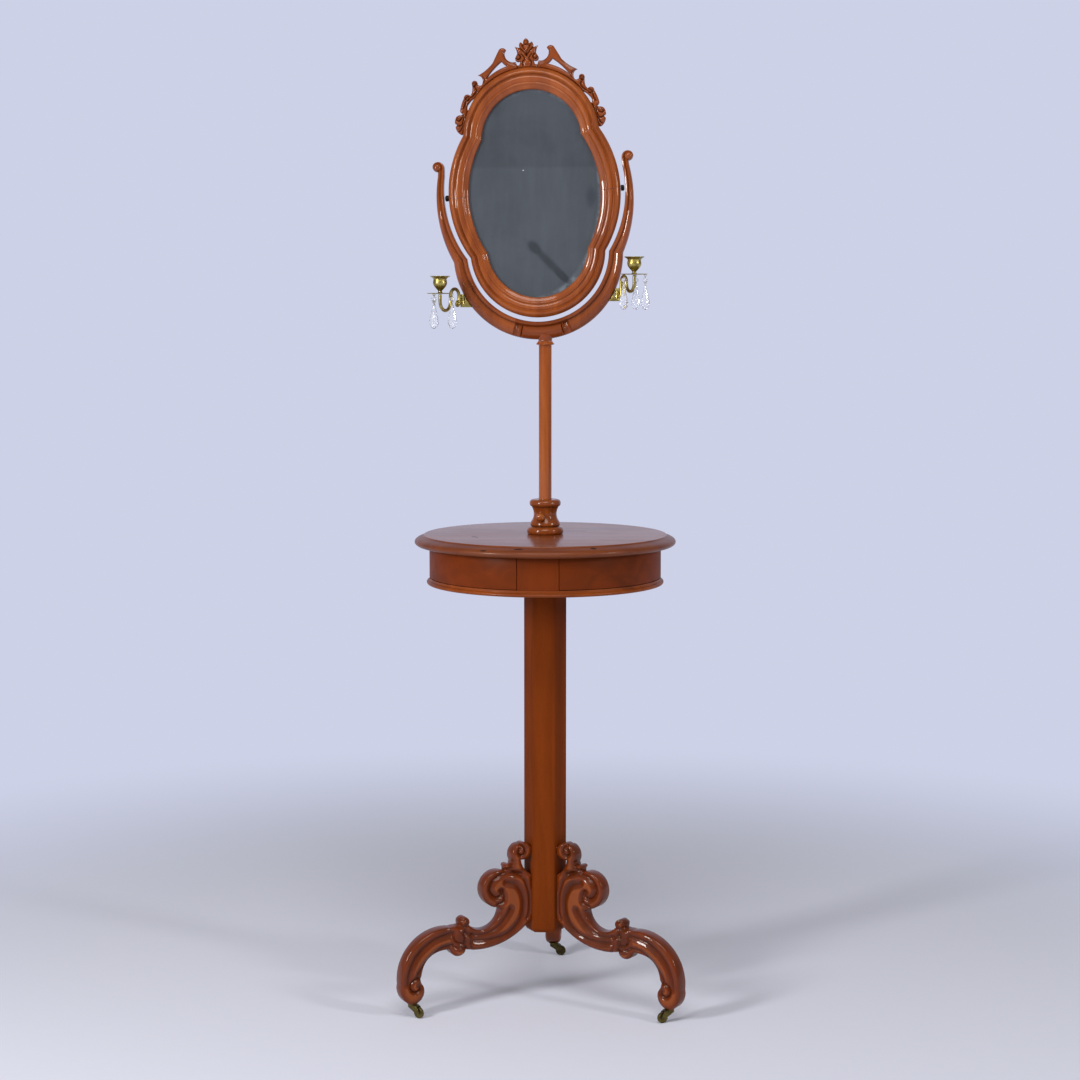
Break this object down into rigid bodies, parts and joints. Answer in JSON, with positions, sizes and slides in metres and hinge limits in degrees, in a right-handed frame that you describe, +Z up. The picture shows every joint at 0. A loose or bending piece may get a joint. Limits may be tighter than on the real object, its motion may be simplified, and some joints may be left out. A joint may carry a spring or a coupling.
{
  "type": "shaving stand with mirror and drum table",
  "caption": "Carved mahogany shaving stand: tripod on brass castors, drum table with curved drawers, sliding pole, tilting mirror and two brass candle sconces.",
  "frame": {"origin": "on the floor, on the axis of the column", "axes": "+Z up along the column, the front of the mirror faces -Y, +X is to the right of a person facing the mirror"},
  "size_m": [0.4988, 0.5043, 1.6592],
  "materials": {
    "mahogany": "french polished",
    "secondary_wood": "planed, unpolished",
    "brass": "aged",
    "black_iron": "blackened",
    "silvered_glass": "old silvering, cloudy",
    "crystal": "cut and polished"
  },
  "bodies": {
    "stand": {"column": "mahogany", "leg_left": "mahogany", "leg_right": "mahogany", "leg_rear": "mahogany", "castor_plates": "brass", "table_top": "mahogany", "drum_floor": "mahogany", "front_block": "mahogany", "rear_block": "mahogany", "pole_guide": "secondary_wood", "divider_left": "secondary_wood", "divider_right": "secondary_wood", "drawer_runner_left": "secondary_wood", "drawer_runner_right": "secondary_wood", "collar": "mahogany"},
    "drawer_left": {"drawer_left_front": "mahogany", "drawer_left_back": "secondary_wood", "drawer_left_bottom": "secondary_wood"},
    "drawer_right": {"drawer_right_front": "mahogany", "drawer_right_back": "secondary_wood", "drawer_right_bottom": "secondary_wood"},
    "sliding_pole": {"pole": "mahogany"},
    "thumbscrew": {"thumbscrew": "mahogany"},
    "yoke": {"yoke_base": "mahogany", "yoke_arm_left": "mahogany", "yoke_arm_right": "mahogany", "pivots": "black_iron", "sconce_brackets": "brass"},
    "mirror": {"frame_upper": "mahogany", "frame_lower": "mahogany", "mirror_glass": "silvered_glass", "back_board": "secondary_wood", "crest_palmette": "mahogany", "crest_scroll_left": "mahogany", "crest_scroll_right": "mahogany"},
    "sconce_left": {"sconce_left": "brass"},
    "sconce_right": {"sconce_right": "brass"},
    "crystal_drop_left_1": {"crystal_drop_left_1": "crystal"},
    "crystal_drop_left_2": {"crystal_drop_left_2": "crystal"},
    "crystal_drop_left_3": {"crystal_drop_left_3": "crystal"},
    "crystal_drop_right_1": {"crystal_drop_right_1": "crystal"},
    "crystal_drop_right_2": {"crystal_drop_right_2": "crystal"},
    "crystal_drop_right_3": {"crystal_drop_right_3": "crystal"},
    "castor_fork_left": {"castor_fork_left": "brass"},
    "castor_wheel_left": {"castor_wheel_left": "brass"},
    "castor_fork_right": {"castor_fork_right": "brass"},
    "castor_wheel_right": {"castor_wheel_right": "brass"},
    "castor_fork_rear": {"castor_fork_rear": "brass"},
    "castor_wheel_rear": {"castor_wheel_rear": "brass"}
  },
  "joints": [
    {"name": "drawer_left_slide", "type": "slide", "parent": "stand", "child": "drawer_left", "axis": [-1, 0, 0], "range_m": [0, 0.13]},
    {"name": "drawer_right_slide", "type": "slide", "parent": "stand", "child": "drawer_right", "axis": [1, 0, 0], "range_m": [0, 0.13]},
    {"name": "pole_slide", "type": "slide", "parent": "stand", "child": "sliding_pole", "axis": [0, 0, 1], "range_m": [-0.26, 0.15]},
    {"name": "thumbscrew_turn", "type": "hinge", "parent": "stand", "child": "thumbscrew", "pos_m": [0, 0, 0.851], "axis": [-0.225, -0.9744, 0], "continuous": true},
    {"name": "yoke_turn", "type": "hinge", "parent": "sliding_pole", "child": "yoke", "pos_m": [0, 0, 1.151], "axis": [0, 0, 1], "continuous": true},
    {"name": "mirror_tilt", "type": "hinge", "parent": "yoke", "child": "mirror", "pos_m": [-0.01811, 0, 1.40087], "axis": [0.9983, 0, 0.0576], "range_deg": [-120, 120]},
    {"name": "sconce_left_swing", "type": "hinge", "parent": "yoke", "child": "sconce_left", "pos_m": [-0.14137, 0, 1.21928], "axis": [0, 0, 1], "range_deg": [-60, 0]},
    {"name": "sconce_right_swing", "type": "hinge", "parent": "yoke", "child": "sconce_right", "pos_m": [0.12264, 0, 1.22969], "axis": [0, 0, 1], "range_deg": [-40, 60]},
    {"name": "crystal_drop_left_1_swing", "type": "hinge", "parent": "sconce_left", "child": "crystal_drop_left_1", "pos_m": [-0.15355, -0.0556, 1.23047], "axis": [-0.0872, 0.9962, 0], "range_deg": [-30, 8]},
    {"name": "crystal_drop_left_2_swing", "type": "hinge", "parent": "sconce_left", "child": "crystal_drop_left_2", "pos_m": [-0.18573, -0.04059, 1.23047], "axis": [-0.8192, -0.5736, 0], "range_deg": [-30, 8]},
    {"name": "crystal_drop_left_3_swing", "type": "hinge", "parent": "sconce_left", "child": "crystal_drop_left_3", "pos_m": [-0.18263, -0.07597, 1.23047], "axis": [0.9063, -0.4226, 0], "range_deg": [-30, 8]},
    {"name": "crystal_drop_right_1_swing", "type": "hinge", "parent": "sconce_right", "child": "crystal_drop_right_1", "pos_m": [0.17139, -0.06736, 1.26239], "axis": [0.4226, 0.9063, 0], "range_deg": [-30, 8]},
    {"name": "crystal_drop_right_2_swing", "type": "hinge", "parent": "sconce_right", "child": "crystal_drop_right_2", "pos_m": [0.15495, -0.03831, 1.26239], "axis": [-0.9945, 0.1045, 0], "range_deg": [-30, 8]},
    {"name": "crystal_drop_right_3_swing", "type": "hinge", "parent": "sconce_right", "child": "crystal_drop_right_3", "pos_m": [0.13602, -0.07046, 1.26239], "axis": [0.5736, -0.8192, 0], "range_deg": [-30, 8]},
    {"name": "castor_left_swivel", "type": "hinge", "parent": "stand", "child": "castor_fork_left", "pos_m": [-0.21997, -0.127, 0.0245], "axis": [0, 0, 1], "continuous": true},
    {"name": "castor_left_roll", "type": "hinge", "parent": "castor_fork_left", "child": "castor_wheel_left", "pos_m": [-0.20785, -0.134, 0.0094], "axis": [0.5, 0.866, 0], "continuous": true},
    {"name": "castor_right_swivel", "type": "hinge", "parent": "stand", "child": "castor_fork_right", "pos_m": [0.21997, -0.127, 0.0245], "axis": [0, 0, 1], "continuous": true},
    {"name": "castor_right_roll", "type": "hinge", "parent": "castor_fork_right", "child": "castor_wheel_right", "pos_m": [0.20785, -0.134, 0.0094], "axis": [0.5, -0.866, 0], "continuous": true},
    {"name": "castor_rear_swivel", "type": "hinge", "parent": "stand", "child": "castor_fork_rear", "pos_m": [0, 0.254, 0.0245], "axis": [0, 0, 1], "continuous": true},
    {"name": "castor_rear_roll", "type": "hinge", "parent": "castor_fork_rear", "child": "castor_wheel_rear", "pos_m": [0.01395, 0.25278, 0.0094], "axis": [0.0872, 0.9962, 0], "continuous": true}
  ]
}
